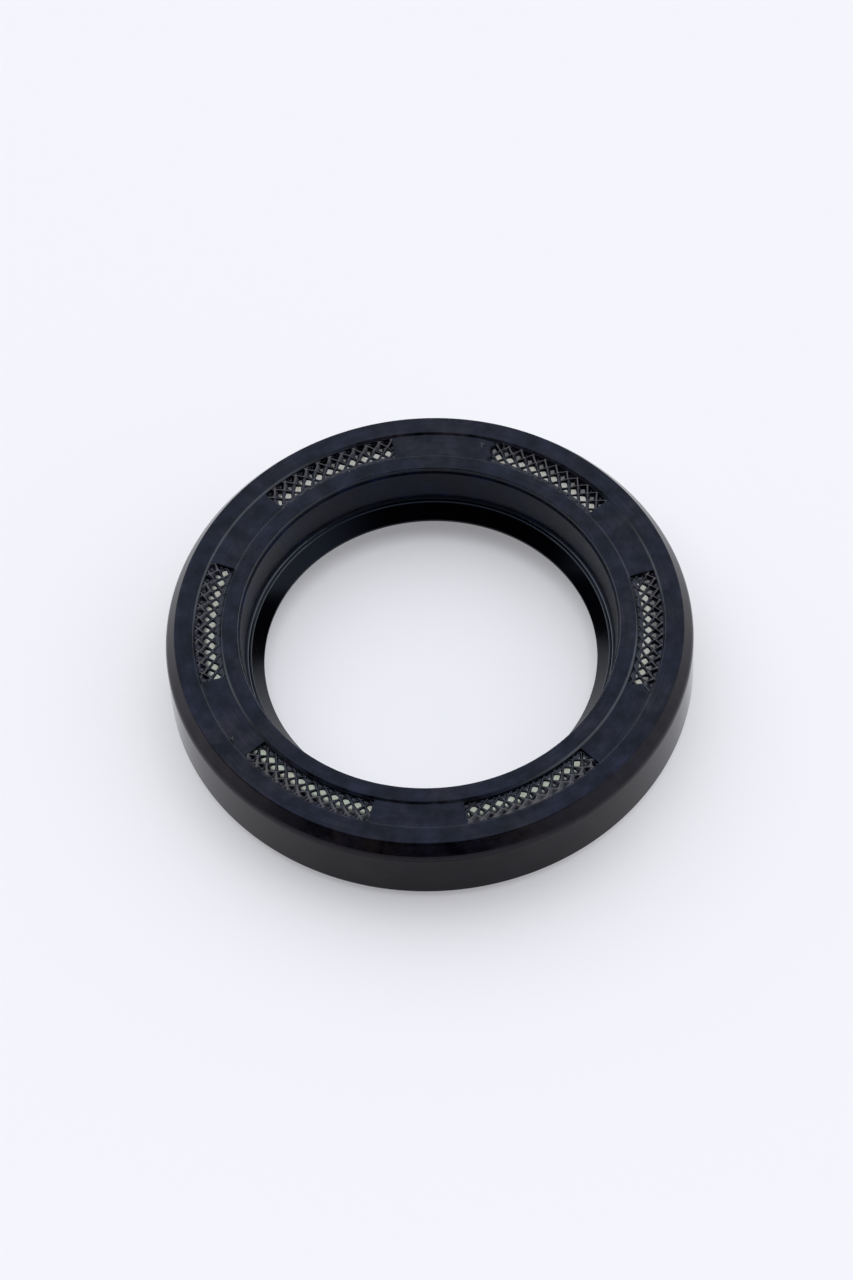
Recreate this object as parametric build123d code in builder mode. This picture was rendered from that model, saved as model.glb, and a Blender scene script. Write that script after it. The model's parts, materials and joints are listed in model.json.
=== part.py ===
from build123d import *
import os

# Radial shaft seal with one lip: rubber moulded over a pressed steel ring.
# Millimetres. The axis is Z, the oil side stands on Z = 0, the air side faces up.
# Section corners are given as (radius, height, corner radius).

# Nominal sizes, from which the other places are measured
shaft_diameter = 40.0
housing_diameter = 62.0
seal_width = 10.0

# Outer covering
air_chamfer_width = 1.15
air_chamfer_height = 1.8
oil_chamfer_width = 1.0
oil_chamfer_height = 1.6
chamfer_rounding = 0.4

# Air-side face: an inner and an outer land with a shallow band between them
face_opening = 2.4  # from the nominal shaft to the edge of the opening
band_width = 3.0
band_offset = -0.12  # the band lies a little inside the middle of the face
band_depth = 0.25

# Openings in the band, where the mould held the steel ring
window_count = 6
window_angle = 36.0
window_inset = 0.06  # narrow ledge between the opening and the band's walls
film_width = 1.05  # outer strip of each opening where rubber covers the steel
film_thickness = 0.12

# Rubber lattice in the openings: two families of ribs that cross at right angles
lattice_pitch_angle = 360 / 108
lattice_start = 1.9  # angle from the end of an opening to the first cell's centre
lattice_line_offset = -0.42  # from the middle of the band to the row of crossings
rib_width = 0.4
rib_height = 0.25
rib_overrun = 0.1  # depth to which the ribs' ends are buried in the side walls
end_overrun_angle = 0.2  # the same, at the two ends of an opening
spare_crossings = 2  # crossings beyond each end, whose ribs reach into the corners

# Pressed steel ring
sheet_thickness = 1.0
bend_radius = 2.0
outer_covering = 1.4  # rubber on the outside of the ring
face_covering = 0.75  # rubber on the air side of the ring
case_end_height = 1.0
web_edge_covering = 1.2  # rubber between the opening's edge and the ring

# Flexible wall between the face and the lip
edge_step_height = 0.55
edge_step_draft = 0.04
edge_shoulder_width = 0.2
edge_shoulder_height = 0.15
wall_foot_width = 2.06  # from the sealing edge to the foot of the wall
wall_foot_height = 5.12
wall_thickness = 1.0
wall_growth = 0.35  # how much thicker the wall is where it meets the heel
heel_overlap = 0.8  # how far the heel reaches past the ring's inner edge
heel_thickness = 0.5
heel_rounding = 1.0

# Two fine beads on the ledge above the lip
upper_bead_width = 1.77
upper_bead_height = 5.08
bead_groove_width = 1.58
bead_groove_height = 4.88
lower_bead_width = 1.4
lower_bead_height = 4.84

# Sealing lip and its spring
lip_interference = 0.32  # the free lip is this much smaller than the shaft's radius
lip_height = 3.02
lip_land = 0.3
lip_end_height = 1.5
lip_thickness = 1.77  # from the sealing edge to the bottom of the spring's groove
spring_thickness = 1.8
spring_clearance = 0.05
spring_rise = 0.38  # the spring sits this much nearer the air side than the edge
groove_hook = 0.55  # how far the lip reaches past the spring's centre
shoulder_height = 4.75
neck_height = 5.45

# Rubber hooked round the free end of the steel ring
hook_height = 1.6
hook_thickness = 0.3

# Places that follow from the sizes above
outer_radius = housing_diameter / 2
lip_radius = shaft_diameter / 2 - lip_interference
face_inner = shaft_diameter / 2 + face_opening
face_outer = outer_radius - air_chamfer_width
band_middle = (face_inner + face_outer) / 2 + band_offset
band_inner = band_middle - band_width / 2
band_outer = band_middle + band_width / 2
band_height = seal_width - band_depth

web_top = seal_width - face_covering
web_bottom = web_top - sheet_thickness
web_middle = web_top - sheet_thickness / 2
web_edge = face_inner + web_edge_covering
case_outer = outer_radius - outer_covering
case_inner = case_outer - sheet_thickness
case_middle = case_outer - sheet_thickness / 2

window_inner = band_inner + window_inset
window_outer = band_outer - window_inset
film_edge = band_outer - film_width
film_top = web_top + film_thickness

step_bottom = face_inner - edge_step_draft
step_height = seal_width - edge_step_height
shoulder_edge = step_bottom - edge_shoulder_width
wall_foot = lip_radius + wall_foot_width
neck_radius = wall_foot + wall_thickness
wall_outside = neck_radius + wall_growth
heel_bottom = web_bottom - heel_thickness
heel_end = web_edge + heel_overlap

groove_radius = spring_thickness / 2 + spring_clearance
spring_radius = lip_radius + lip_thickness + groove_radius
spring_height = lip_height + spring_rise
head_radius = spring_radius + groove_hook
lip_taper = lip_height - lip_land / 2 - lip_end_height

lattice_line = band_middle + lattice_line_offset
half_window = window_angle / 2
rib_reach = 1.5 * band_width  # to each side of a crossing
crossing_count = int(window_angle / lattice_pitch_angle) + 2 * spare_crossings + 1
first_crossing = (
    lattice_start - half_window - (spare_crossings + 0.5) * lattice_pitch_angle
)

def closed_outline(corners):
    """Closed line through (radius, height, corner radius) corners."""
    points = [(radius, height) for radius, height, _ in corners]
    FilletPolyline(points, radius=[rounding for _, _, rounding in corners], close=True)


def sector_outline(inner, outer, half_angle):
    """Line round a ring sector that is symmetric about the X axis."""
    inner_arc = CenterArc((0, 0), inner, -half_angle, 2 * half_angle)
    outer_arc = CenterArc((0, 0), outer, -half_angle, 2 * half_angle)
    Line(inner_arc @ 0, outer_arc @ 0)
    Line(inner_arc @ 1, outer_arc @ 1)


outer_covering_corners = [
    (outer_radius - oil_chamfer_width, 0, 0),
    (outer_radius, oil_chamfer_height, 0),
    (outer_radius, seal_width - air_chamfer_height, chamfer_rounding),
    (face_outer, seal_width, chamfer_rounding),
]
air_face_corners = [
    (band_outer, seal_width, 0),
    (band_outer, band_height, 0),
    (band_inner, band_height, 0),
    (band_inner, seal_width, 0),
    (face_inner, seal_width, 0),
]
bore_corners = [
    (step_bottom, step_height, 0),
    (shoulder_edge, step_height - edge_shoulder_height, 0),
    (wall_foot, wall_foot_height, 0),
    (lip_radius + upper_bead_width, upper_bead_height, 0),
    (lip_radius + bead_groove_width, bead_groove_height, 0),
    (lip_radius + lower_bead_width, lower_bead_height, 0),
]
lip_corners = [
    (lip_radius, lip_height + lip_land / 2, 0),
    (lip_radius, lip_height - lip_land / 2, 0),
    (lip_radius + lip_taper, lip_end_height, 0),
    (head_radius, lip_end_height, 0),
    (head_radius, shoulder_height, 0),
]
wall_outside_corners = [
    (neck_radius, neck_height, 0),
    (wall_outside, heel_bottom, heel_rounding),
    (heel_end, heel_bottom, 0),
]
inside_steel_corners = [  # this stretch lies in the steel, which is cut out later
    (heel_end, web_middle, 0),
    (case_middle, web_middle, bend_radius - sheet_thickness / 2),
    (case_middle, hook_height, 0),
]
case_hook_corners = [
    (case_inner - hook_thickness, hook_height, 0),
    (case_inner - hook_thickness, 0, 0),
]
case_corners = [
    (web_edge, web_top, 0),
    (case_outer, web_top, bend_radius),
    (case_outer, case_end_height, 0),
    (case_inner, case_end_height, 0),
    (case_inner, web_bottom, bend_radius - sheet_thickness),
    (web_edge, web_bottom, 0),
]

# Pressed steel ring
with BuildPart() as metal_case:
    with BuildSketch(Plane.XZ) as case_section:
        with BuildLine():
            closed_outline(case_corners)
        make_face()
    revolve(axis=Axis.Z)
metal_case.part.label = "metal_case"

# One crossing of the lattice, then the row of them that fills an opening
with BuildPart() as rib_pair:
    for side in (1, -1):
        rib_plane = Plane(
            origin=(lattice_line, 0, web_top),
            x_dir=(-side, 1, 0),
            z_dir=(1, side, 0),
        )
        with BuildSketch(rib_plane):
            with BuildLine():
                Polyline((-rib_width / 2, 0), (rib_width / 2, 0), (0, rib_height), close=True)
            make_face()
        extrude(amount=rib_reach, both=True)

with BuildPart() as lattice:
    with PolarLocations(
        0,
        crossing_count,
        start_angle=first_crossing,
        angular_range=crossing_count * lattice_pitch_angle,
    ):
        add(rib_pair.part)
    with BuildSketch(Plane.XY.offset(web_top)):
        with BuildLine():
            sector_outline(
                window_inner - rib_overrun,
                window_outer + rib_overrun,
                half_window + end_overrun_angle,
            )
        make_face()
    extrude(amount=rib_height, mode=Mode.INTERSECT)

# One opening: bare steel at its floor, with a strip of rubber film along its outside
with BuildPart() as opening:
    with BuildSketch(Plane.XY.offset(web_top)):
        with BuildLine():
            sector_outline(window_inner, film_edge, half_window)
        make_face()
    extrude(amount=face_covering)
    with BuildSketch(Plane.XY.offset(film_top)):
        with BuildLine():
            sector_outline(film_edge, window_outer, half_window)
        make_face()
    extrude(amount=face_covering - film_thickness)

# Rubber moulding
with BuildPart() as elastomer_body:
    with BuildSketch(Plane.XZ) as body_section:
        with BuildLine():
            closed_outline(
                outer_covering_corners
                + air_face_corners
                + bore_corners
                + lip_corners
                + wall_outside_corners
                + inside_steel_corners
                + case_hook_corners
            )
        make_face()
        with Locations((spring_radius, spring_height)):
            Circle(groove_radius, mode=Mode.SUBTRACT)
        add(case_section.sketch_local, mode=Mode.SUBTRACT)
    revolve(axis=Axis.Z)
    with PolarLocations(0, window_count):
        add(opening.part, mode=Mode.SUBTRACT)
    with PolarLocations(0, window_count):
        add(lattice.part)
elastomer_body.part.label = "elastomer_body"

# Garter spring, drawn as the ring that its closed coils fill
with BuildPart() as garter_spring:
    with BuildSketch(Plane.XZ):
        with Locations((spring_radius, spring_height)):
            Circle(spring_thickness / 2)
    revolve(axis=Axis.Z)
garter_spring.part.label = "garter_spring"

os.makedirs("parts", exist_ok=True)
for piece in (elastomer_body, metal_case, garter_spring):
    export_step(piece.part, f"parts/{piece.part.label}.step")
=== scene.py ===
import json
import math

import bpy
import numpy as np
from mathutils import Matrix, Vector


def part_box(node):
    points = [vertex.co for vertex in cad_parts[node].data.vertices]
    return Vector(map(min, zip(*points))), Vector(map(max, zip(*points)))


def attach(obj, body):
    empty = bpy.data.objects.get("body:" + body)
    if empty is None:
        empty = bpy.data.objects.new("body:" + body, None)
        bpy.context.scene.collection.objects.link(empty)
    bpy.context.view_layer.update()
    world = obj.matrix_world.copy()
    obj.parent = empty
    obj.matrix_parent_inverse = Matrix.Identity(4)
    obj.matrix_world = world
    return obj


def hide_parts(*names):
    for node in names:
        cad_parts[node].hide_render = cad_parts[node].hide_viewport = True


# A radial shaft seal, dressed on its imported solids. Shapes are worked out in millimetres
# and turned to metres when a mesh is made.
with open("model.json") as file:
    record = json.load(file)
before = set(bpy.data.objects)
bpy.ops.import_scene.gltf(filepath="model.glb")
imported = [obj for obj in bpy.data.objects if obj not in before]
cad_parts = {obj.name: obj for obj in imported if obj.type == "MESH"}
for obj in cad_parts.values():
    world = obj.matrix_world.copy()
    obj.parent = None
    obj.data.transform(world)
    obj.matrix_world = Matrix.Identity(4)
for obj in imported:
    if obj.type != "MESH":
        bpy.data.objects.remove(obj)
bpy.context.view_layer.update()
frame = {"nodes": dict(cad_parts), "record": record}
millimetre = 0.001


def boxOf(node):
    low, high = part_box(node)
    return np.array(low) / millimetre, np.array(high) / millimetre


_, bodyHigh = boxOf("elastomer_body")
steelLow, steelHigh = boxOf("metal_case")
springLow, springHigh = boxOf("garter_spring")
shaftMount = next(mount for mount in frame["record"]["mounts"] if mount["name"] == "shaft_lip")

# Sizes that the pieces share, read from the solids
seal = {
    "outer": bodyHigh[0],
    "top": bodyHigh[2],
    "lip": shaftMount["dims"]["r_mm"],
    "lipHeight": shaftMount["pos_m"][2] / millimetre,
    "lipLand": shaftMount["dims"]["length_mm"],
    "steelOuter": steelHigh[0],
    "steelTop": steelHigh[2],
    "steelEnd": steelLow[2],
    "springHeight": (springLow[2] + springHigh[2]) / 2,
    "springWidth": springHigh[2] - springLow[2],
    "springRadius": springHigh[0] - (springHigh[2] - springLow[2]) / 2,
}
print("frame loaded", {name: round(float(value), 3) for name, value in seal.items()})


# Faces come as arrays of point numbers with one face in a row. Each array may have its own
# number of points to a face.
def meshFrom(name, points, faceRows, materials):
    mesh = bpy.data.meshes.new(name)
    loops = np.concatenate([rows.ravel() for rows in faceRows]).astype(np.int32)
    sizes = np.concatenate([np.full(len(rows), rows.shape[1]) for rows in faceRows])
    starts = np.concatenate([[0], np.cumsum(sizes)[:-1]]).astype(np.int32)
    mesh.vertices.add(len(points))
    mesh.vertices.foreach_set("co", (points * millimetre).astype(np.float32).ravel())
    mesh.loops.add(len(loops))
    mesh.loops.foreach_set("vertex_index", loops)
    mesh.polygons.add(len(starts))
    mesh.polygons.foreach_set("loop_start", starts)
    mesh.update(calc_edges=True)
    mesh.validate()
    mesh.shade_smooth()
    for material in materials:
        mesh.materials.append(material)
    piece = bpy.data.objects.new(name, mesh)
    bpy.context.scene.collection.objects.link(piece)
    return piece


# Large faces decide the shading, so that flats stay flat beside small roundings
def weighNormals(piece):
    modifier = piece.modifiers.new("face weighted normals", "WEIGHTED_NORMAL")
    modifier.mode = "FACE_AREA"
    modifier.keep_sharp = False


# Quads of a grid of point numbers, in the order row, next column, next row
def gridFaces(numbers):
    corners = (numbers[:-1, :-1], numbers[:-1, 1:], numbers[1:, 1:], numbers[1:, :-1])
    return np.stack(corners, axis=-1).reshape(-1, 4)


# Cylinder coordinates to points: x = r cos a, y = r sin a
def turned(radius, angle, height):
    across = np.broadcast_arrays(radius * np.cos(angle), radius * np.sin(angle), height)
    return np.stack(across, axis=-1).reshape(-1, 3)


# An open line through (radius, height, rounding) corners. A rounding is the arc that
# touches both sides, with its centre on the corner's bisector, and a short support edge
# follows it on each side. A corner of rounding 0 is passed through as it is.
def roundedLine(corners, support=0.03, stepAngle=18.0, stepLength=0.25):
    corners = np.array(corners, float)
    line = [corners[:1, :2]]
    for before, corner, after in zip(corners[:-2], corners[1:-1], corners[2:]):
        place, rounding = corner[:2], corner[2]
        if rounding == 0:
            line.append(place[None])
            continue
        toBefore = (before[:2] - place) / np.linalg.norm(before[:2] - place)
        toAfter = (after[:2] - place) / np.linalg.norm(after[:2] - place)
        half = np.arccos(np.clip(toBefore @ toAfter, -1, 1)) / 2
        reach = rounding / np.tan(half)
        bisector = (toBefore + toAfter) / np.linalg.norm(toBefore + toAfter)
        centre = place + bisector * rounding / np.sin(half)
        start, end = place + toBefore * reach - centre, place + toAfter * reach - centre
        turn = np.pi - 2 * half
        steps = max(2, math.ceil(np.degrees(turn) / stepAngle))
        steps = max(steps, math.ceil(turn * rounding / stepLength))
        along = np.linspace(0, 1, steps + 1)[:, None]
        arc = (np.sin((1 - along) * turn) * start + np.sin(along * turn) * end) / np.sin(turn)
        edge = min(support, rounding)
        line.append((centre + start + toBefore * edge)[None])
        line.append(centre + arc)
        line.append((centre + end + toAfter * edge)[None])
    line.append(corners[-1:, :2])
    return np.vstack(line)


# One shader node with its settings and links. Each value is a setting of the node, a
# constant for one of its inputs or another node's output that is linked to one. Inputs go
# by name or number: a Mix node's two values are its inputs 2 and 3, its two colours 6 and 7.
def addNode(tree, kind, values=None):
    node = tree.nodes.new(kind)
    for name, value in (values or {}).items():
        if isinstance(value, bpy.types.NodeSocket):
            tree.links.new(value, node.inputs[name])
        elif isinstance(name, int) or name in node.inputs:
            node.inputs[name].default_value = value
        else:
            setattr(node, name, value)
    return node


# Texture scale that gives features of about this many millimetres
def perMillimetre(size):
    return 1 / (size * millimetre)


# Most of a noise lies between these values
noiseRange = {"From Min": 0.3, "From Max": 0.7}


# The level part of a place, and its length: how far the place is from the ring's axis
def levelAndRadius(tree, place):
    values = {"operation": "MULTIPLY", 0: place, 1: (1, 1, 0)}
    level = addNode(tree, "ShaderNodeVectorMath", values).outputs["Vector"]
    radius = addNode(tree, "ShaderNodeVectorMath", {"operation": "LENGTH", 0: level})
    return level, radius.outputs["Value"]


# Coordinates that follow the ring: (r / a, cos t R / b, sin t R / b) and z / a, so that a
# noise on them has features a across and b along the circumference
def alongRing(tree, place, across, along):
    level, radius = levelAndRadius(tree, place)
    heading = addNode(tree, "ShaderNodeVectorMath", {"operation": "NORMALIZE", 0: level})
    values = {"operation": "SCALE", 0: heading.outputs["Vector"], "Scale": seal["outer"] / along}
    turns = addNode(tree, "ShaderNodeVectorMath", values)
    apart = addNode(tree, "ShaderNodeSeparateXYZ", {0: turns.outputs["Vector"]})
    height = addNode(tree, "ShaderNodeSeparateXYZ", {0: place}).outputs["Z"]
    scaled = {"operation": "MULTIPLY", 1: perMillimetre(across)}
    outwards = addNode(tree, "ShaderNodeMath", {0: radius, **scaled}).outputs[0]
    upwards = addNode(tree, "ShaderNodeMath", {0: height, **scaled}).outputs[0]
    values = {0: outwards, 1: apart.outputs[0], 2: apart.outputs[1]}
    return addNode(tree, "ShaderNodeCombineXYZ", values).outputs[0], upwards


# An sRGB hex value as linear red, green, blue and alpha
def linear(hexValue):
    channels = [int(hexValue[place : place + 2], 16) / 255 for place in (1, 3, 5)]
    return [c / 12.92 if c <= 0.04045 else ((c + 0.055) / 1.055) ** 2.4 for c in channels] + [1.0]


def newMaterial(name):
    material = bpy.data.materials.new(name)
    material.use_nodes = True
    tree = material.node_tree
    tree.nodes.clear()
    output = addNode(tree, "ShaderNodeOutputMaterial")
    coordinates = addNode(tree, "ShaderNodeTexCoord")
    return material, tree, output, coordinates.outputs["Object"]


# Nitrile rubber, black with carbon: a satin black that mirrors a bright room softly. The
# mould's turned faces leave faint rings, and a thin bloom of wax and dust drifts over it.
rubberLook = {
    "black": "#030305",
    "grain": {"Scale": perMillimetre(0.11), "Detail": 2.0},
    "grainDepth": 0.0008,
    "rings": {"noise_dimensions": "4D", "Scale": 1.0, "Detail": 3.0, "Roughness": 0.7},
    "ringRange": {"From Min": 0.35, "From Max": 0.65, "To Min": 0.45, "To Max": 1.0},
    "ringWidth": 0.3,
    "ringLength": 9.0,
    "patches": {"Scale": perMillimetre(2.4), "Detail": 5.0, "Roughness": 0.62},
    "patchRange": {"From Min": 0.36, "From Max": 0.66},
    "drift": {"Scale": perMillimetre(7.0), "Detail": 3.0, "Roughness": 0.6},
    "driftRange": {"From Min": 0.42, "From Max": 0.6},
    "dust": "#b9b5b0",
    "dustSpacing": 3.4,
    "dustSize": 0.07,
    "dustCore": 0.6,  # share of a speck's size before its edge
    # Only the highest of the random values make specks
    "dustChance": {"From Min": 0.86, "From Max": 0.95, "To Min": 0.0, "To Max": 0.8},
}
# Each part of the moulding left the mould from another steel surface. Tints are the shares
# of red, green and blue that the gloss keeps; their extra blue is a painted tint of reflection,
# standing in for the bluish light that the rubber mirrors.
rubberFinishes = {
    "moulded nitrile face": {
        "coolBloom": "#1e2131",
        "warmBloom": "#27242d",
        "bloom": 1.0,
        "ior": 1.35,
        "tint": (0.25, 0.31, 0.45, 1.0),
        "roughness": {"To Min": 0.15, "To Max": 0.27},
        "ringDepth": 0.0015,
    },
    "moulded nitrile outer wall": {
        "coolBloom": "#100f1d",
        "warmBloom": "#211a20",
        "bloom": 1.0,
        "ior": 1.265,
        "tint": (0.1, 0.08, 0.11, 1.0),
        "roughness": {"To Min": 0.06, "To Max": 0.12},
        "ringDepth": 0.0008,
    },
    "moulded nitrile bore": {
        "coolBloom": "#101c38",
        "warmBloom": "#1c1820",
        "bloom": 0.9,
        "ior": 1.34,
        "tint": (0.16, 0.22, 0.4, 1.0),
        "roughness": {"To Min": 0.26, "To Max": 0.34},
        "ringDepth": 0.0008,
    },
    "moulded nitrile lip": {
        "coolBloom": "#05080f",
        "warmBloom": "#070606",
        "bloom": 0.35,
        "ior": 1.4,
        "tint": (0.24, 0.3, 0.44, 1.0),
        "roughness": {"To Min": 0.08, "To Max": 0.14},
        "ringDepth": 0.0006,
    },
    # Lighter and glossier than the face: a painted highlight on the edge roundings it covers,
    # partly the real gloss of polish
    "moulded nitrile edge": {
        "coolBloom": "#2e3242",
        "warmBloom": "#34303a",
        "bloom": 1.0,
        "ior": 1.6,
        "tint": (0.85, 0.93, 1.0, 1.0),
        "roughness": {"To Min": 0.12, "To Max": 0.2},
        "ringDepth": 0.0006,
    },
    "moulded nitrile chamfer": {
        "coolBloom": "#191824",
        "warmBloom": "#261f20",
        "bloom": 0.9,
        "ior": 1.35,
        "tint": (0.62, 0.6, 0.7, 1.0),
        "roughness": {"To Min": 0.12, "To Max": 0.22},
        "ringDepth": 0.001,
    },
    "moulded nitrile lattice": {
        "coolBloom": "#161923",
        "warmBloom": "#1e1b20",
        "bloom": 0.9,
        "ior": 1.6,
        "tint": (0.36, 0.39, 0.5, 1.0),
        # Painted highlight: the gloss whitens towards this tint on the ribs' crests
        "crestTint": (0.85, 0.84, 0.9, 1.0),
        # Heights over the steel between which the gloss grows towards the crests' painted
        # highlight
        "crest": {
            "From Min": (seal["steelTop"] + 0.16) * millimetre,
            "From Max": (seal["steelTop"] + 0.36) * millimetre,
        },
        "roughness": {"To Min": 0.12, "To Max": 0.22},
        "ringDepth": 0.0006,
    },
}
# Numbers of the finishes in the rubber's list of materials, by the last word of their names
finishOf = {name.split()[-1]: number for number, name in enumerate(rubberFinishes)}


def mouldedNitrile(name):
    material, tree, output, place = newMaterial(name)
    look, finish = rubberLook, rubberFinishes[name]
    drift, patches, grain = [
        addNode(tree, "ShaderNodeTexNoise", {"Vector": place, **look[noise]}).outputs["Fac"]
        for noise in ("drift", "patches", "grain")
    ]
    ringPlace, rise = alongRing(tree, place, look["ringWidth"], look["ringLength"])
    values = {**look["rings"], "Vector": ringPlace, "W": rise}
    rings = addNode(tree, "ShaderNodeTexNoise", values).outputs["Fac"]
    values = {"Vector": place, "Scale": perMillimetre(look["dustSpacing"])}
    flecks = addNode(tree, "ShaderNodeTexVoronoi", values).outputs
    chance = addNode(tree, "ShaderNodeSeparateXYZ", {0: flecks["Color"]}).outputs[0]
    reach = look["dustSize"] / look["dustSpacing"]
    speck = {"From Min": reach * look["dustCore"], "From Max": reach, "To Min": 1.0, "To Max": 0.0}
    spreads = [
        {"Value": drift, **look["driftRange"]},
        {"Value": patches, **look["patchRange"], "To Max": finish["bloom"]},
        {"Value": rings, **look["ringRange"]},
        {"Value": flecks["Distance"], **speck},
        {"Value": chance, **look["dustChance"]},
        {"Value": patches, **noiseRange, **finish["roughness"]},
    ]
    warmth, clouds, combed, dotted, chosen, roughness = [
        addNode(tree, "ShaderNodeMapRange", values).outputs["Result"] for values in spreads
    ]
    cool, warm = linear(finish["coolBloom"]), linear(finish["warmBloom"])
    values = {"data_type": "RGBA", 0: warmth, 6: cool, 7: warm}
    hue = addNode(tree, "ShaderNodeMix", values).outputs[2]
    values = {"operation": "MULTIPLY", 0: clouds, 1: combed}
    cover = addNode(tree, "ShaderNodeMath", values).outputs[0]
    values = {"data_type": "RGBA", 0: cover, 6: linear(look["black"]), 7: hue}
    bloomed = addNode(tree, "ShaderNodeMix", values).outputs[2]
    values = {"operation": "MULTIPLY", 0: dotted, 1: chosen}
    dusty = addNode(tree, "ShaderNodeMath", values).outputs[0]
    values = {"data_type": "RGBA", 0: dusty, 6: bloomed, 7: linear(look["dust"])}
    colour = addNode(tree, "ShaderNodeMix", values).outputs[2]
    values = {"Strength": 1.0, "Distance": finish["ringDepth"] * millimetre, "Height": rings}
    ringBump = addNode(tree, "ShaderNodeBump", values).outputs["Normal"]
    values = {"Strength": 1.0, "Distance": look["grainDepth"] * millimetre, "Height": grain}
    bump = addNode(tree, "ShaderNodeBump", {**values, "Normal": ringBump}).outputs["Normal"]
    gloss = finish["tint"]
    # Painted highlight on the ribs' crests: the gloss tint whitens with height
    if "crest" in finish:
        height = addNode(tree, "ShaderNodeSeparateXYZ", {0: place}).outputs["Z"]
        values = {"Value": height, **finish["crest"]}
        crestHighlight = addNode(tree, "ShaderNodeMapRange", values).outputs["Result"]
        values = {"data_type": "RGBA", 0: crestHighlight, 6: finish["tint"], 7: finish["crestTint"]}
        gloss = addNode(tree, "ShaderNodeMix", values).outputs[2]
    values = {"Base Color": colour, "Roughness": roughness, "IOR": finish["ior"]}
    values.update({"Specular Tint": gloss, "Normal": bump})
    shader = addNode(tree, "ShaderNodeBsdfPrincipled", values)
    tree.links.new(shader.outputs[0], output.inputs["Surface"])
    return material


# Deep drawn steel, zinc phosphated and coated with a thin bonding primer before moulding:
# a pale grey cream that turns greenish in patches, more so towards the side of the ring that faces
# the camera, with a dull gleam, and dark where rubber has crept over it
steelRadius = seal["steelOuter"] * millimetre
steelLook = {
    "paleCoat": "#9e9c98",
    "greenCoat": "#8d9c87",
    # The coat greens and darkens towards this side, the side the camera looks from
    "greenSide": 262.0,
    "green": {
        "From Min": -0.6 * steelRadius,
        "From Max": 0.9 * steelRadius,
        "To Min": 0.1,
        "To Max": 1.0,
    },
    "patches": {"Scale": perMillimetre(1.3), "Detail": 4.0, "Roughness": 0.6},
    "patchCover": {"To Min": 0.2, "To Max": 1.0},
    "worn": "#86836f",
    "spots": {"Scale": perMillimetre(0.45), "Detail": 3.0, "Roughness": 0.6},
    "spotRange": {"From Min": 0.45, "From Max": 0.68, "To Min": 0.0, "To Max": 0.8},
    "rubberStain": "#23252a",
    "outerStain": {"From Min": 26.0 * millimetre, "From Max": 26.25 * millimetre},
    "innerStain": {"From Min": 25.25 * millimetre, "From Max": 25.0 * millimetre},
    # Rubber stains the steel a little less on the greener side
    "stain": {
        "From Min": -0.3 * steelRadius,
        "From Max": 0.9 * steelRadius,
        "To Min": 0.79,
        "To Max": 0.76,
    },
    "metallic": 0.3,
    "roughness": {"To Min": 0.34, "To Max": 0.5},
    "grain": {"Scale": perMillimetre(0.16), "Detail": 3.0, "Roughness": 0.65},
    "grainDepth": 0.003,
}


def primedSteel():
    material, tree, output, place = newMaterial("primed deep drawn steel")
    look = steelLook
    patches, spots, grain = [
        addNode(tree, "ShaderNodeTexNoise", {"Vector": place, **look[noise]}).outputs["Fac"]
        for noise in ("patches", "spots", "grain")
    ]
    _, radius = levelAndRadius(tree, place)
    side = math.radians(look["greenSide"])
    values = {"operation": "DOT_PRODUCT", 0: place, 1: (math.cos(side), math.sin(side), 0)}
    toGreen = addNode(tree, "ShaderNodeVectorMath", values).outputs["Value"]
    spreads = [
        {"Value": patches, **noiseRange, **look["patchCover"]},
        {"Value": toGreen, **look["green"]},
        {"Value": spots, **look["spotRange"]},
        {"Value": radius, **look["outerStain"]},
        {"Value": radius, **look["innerStain"]},
        {"Value": toGreen, **look["stain"]},
        {"Value": grain, **noiseRange, **look["roughness"]},
    ]
    thick, green, worn, outward, inward, amount, roughness = [
        addNode(tree, "ShaderNodeMapRange", values).outputs["Result"] for values in spreads
    ]
    values = {"operation": "MULTIPLY", 0: thick, 1: green}
    primer = addNode(tree, "ShaderNodeMath", values).outputs[0]
    pale, greenish = linear(look["paleCoat"]), linear(look["greenCoat"])
    values = {"data_type": "RGBA", 0: primer, 6: pale, 7: greenish}
    coat = addNode(tree, "ShaderNodeMix", values).outputs[2]
    values = {"data_type": "RGBA", 0: worn, 6: coat, 7: linear(look["worn"])}
    rubbed = addNode(tree, "ShaderNodeMix", values).outputs[2]
    values = {"operation": "MAXIMUM", 0: outward, 1: inward}
    crept = addNode(tree, "ShaderNodeMath", values).outputs[0]
    values = {"operation": "MULTIPLY", 0: crept, 1: amount}
    stain = addNode(tree, "ShaderNodeMath", values).outputs[0]
    values = {"data_type": "RGBA", 0: stain, 6: rubbed, 7: linear(look["rubberStain"])}
    colour = addNode(tree, "ShaderNodeMix", values).outputs[2]
    values = {"Strength": 1.0, "Distance": look["grainDepth"] * millimetre, "Height": grain}
    bump = addNode(tree, "ShaderNodeBump", values).outputs["Normal"]
    values = {"Base Color": colour, "Metallic": look["metallic"], "Roughness": roughness}
    shader = addNode(tree, "ShaderNodeBsdfPrincipled", {**values, "Normal": bump})
    tree.links.new(shader.outputs[0], output.inputs["Surface"])
    return material


# Patented spring wire, drawn and wound, with a film of oil: bright, with a fine uneven gleam
# and a straw tint
wireLook = {
    "wire": "#b9b6ad",
    "metallic": 1.0,
    "lines": {"Scale": perMillimetre(0.05), "Detail": 2.0},
    "roughness": {"To Min": 0.22, "To Max": 0.36},
}


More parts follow.
